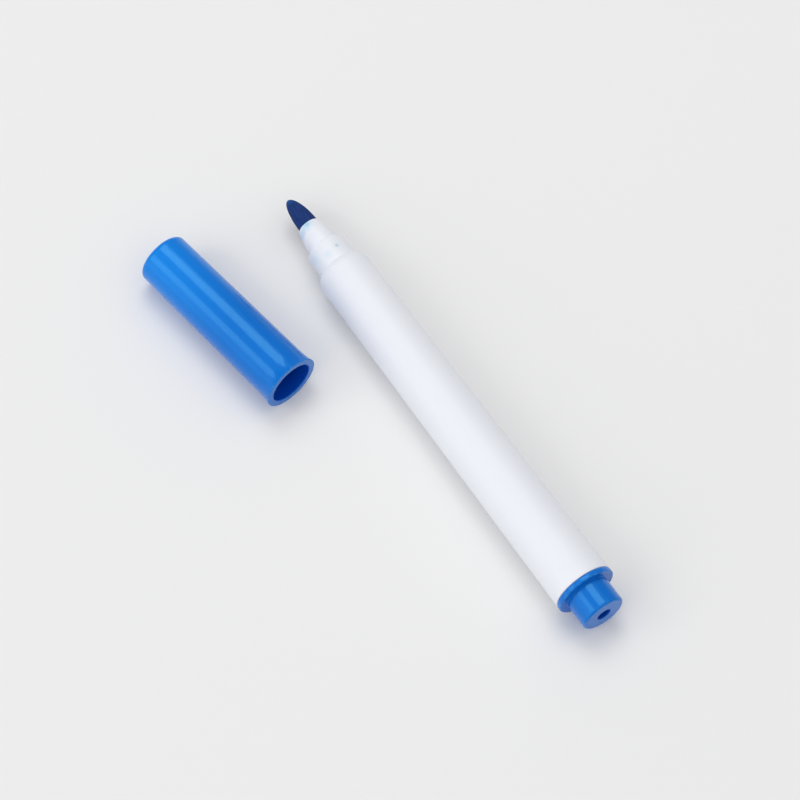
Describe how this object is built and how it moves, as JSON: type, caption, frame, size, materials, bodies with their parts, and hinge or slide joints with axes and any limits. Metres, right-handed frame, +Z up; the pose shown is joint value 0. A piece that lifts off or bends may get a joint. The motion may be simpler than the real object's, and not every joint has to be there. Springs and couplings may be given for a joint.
{
  "type": "fabric marking pen",
  "caption": "Fabric marking pen with a white tapered barrel, blue bullet fibre nib, blue end plug and a blue cap pulled off and lying beside it.",
  "frame": {"origin": "middle of the footprint of pen and cap, on the table that they lie on", "axes": "+X towards the nib, along the pen; +Y towards the side the cap lies on; +Z up from the table"},
  "size_m": [0.1106, 0.0386, 0.0122],
  "materials": {
    "white_plastic": "semi-gloss moulded white plastic with light blue ink smudges on the nose",
    "blue_plastic": "glossy moulded blue plastic",
    "inked_felt": "bonded fibre soaked with dark blue ink",
    "inked_fibre": "ink-soaked fibre",
    "clear_film": "thin clear film"
  },
  "bodies": {
    "pen": {"barrel": "white_plastic", "nib": "inked_felt", "reservoir_core": "inked_fibre", "reservoir_wrap": "clear_film", "end_plug": "blue_plastic"},
    "cap": {"cap": "blue_plastic"}
  },
  "joints": [
    {"name": "cap_slide", "type": "slide", "parent": "pen", "child": "cap", "axis": [0.9886, 0.1504, 0], "range_m": [0, 0.0182]}
  ]
}
